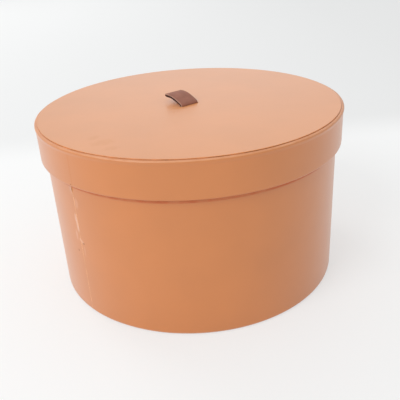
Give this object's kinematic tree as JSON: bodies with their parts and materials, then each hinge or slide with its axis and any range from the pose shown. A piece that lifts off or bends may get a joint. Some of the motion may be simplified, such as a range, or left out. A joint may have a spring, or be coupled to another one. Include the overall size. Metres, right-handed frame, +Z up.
{
  "type": "collar box",
  "caption": "Round covered storage box with a telescoping lift-off lid and a leather pull loop in the lid, for collars and other small things.",
  "frame": {"origin": "centre of the underside, on the surface that the box stands on", "axes": "+Z up, along the axis of the round box; -Y towards the front, the side that the picture is taken from; the seams lie to the left of the front, at about 225 degrees from +X"},
  "size_m": [0.2, 0.2, 0.1199],
  "materials": {
    "tan_cover": "satin",
    "brown_leather": "satin",
    "grey_board": "matte",
    "lining_paper": "matte",
    "patch_paper": "matte"
  },
  "bodies": {
    "body": {"body_wall_board": "grey_board", "base_board": "grey_board", "body_wrap": "tan_cover", "base_cover": "tan_cover", "body_lining": "lining_paper", "base_lining": "lining_paper"},
    "lid": {"lid_band_board": "grey_board", "lid_top_board": "grey_board", "lid_inner_board": "grey_board", "lid_infill": "grey_board", "lid_band_wrap": "tan_cover", "lid_top_cover": "tan_cover", "lid_band_lining": "lining_paper", "lid_lining": "lining_paper", "strap_tails": "brown_leather", "strap_patch": "patch_paper"},
    "pull": {"pull_loop": "brown_leather"}
  },
  "joints": [
    {"name": "lid_lift", "type": "slide", "parent": "body", "child": "lid", "axis": [0, 0, 1], "range_m": [0, 0.06]},
    {"name": "pull_lift", "type": "hinge", "parent": "lid", "child": "pull", "pos_m": [0, -0.0038, 0.1151], "axis": [0.8192, 0.5736, 0], "range_deg": [0, 75]}
  ]
}
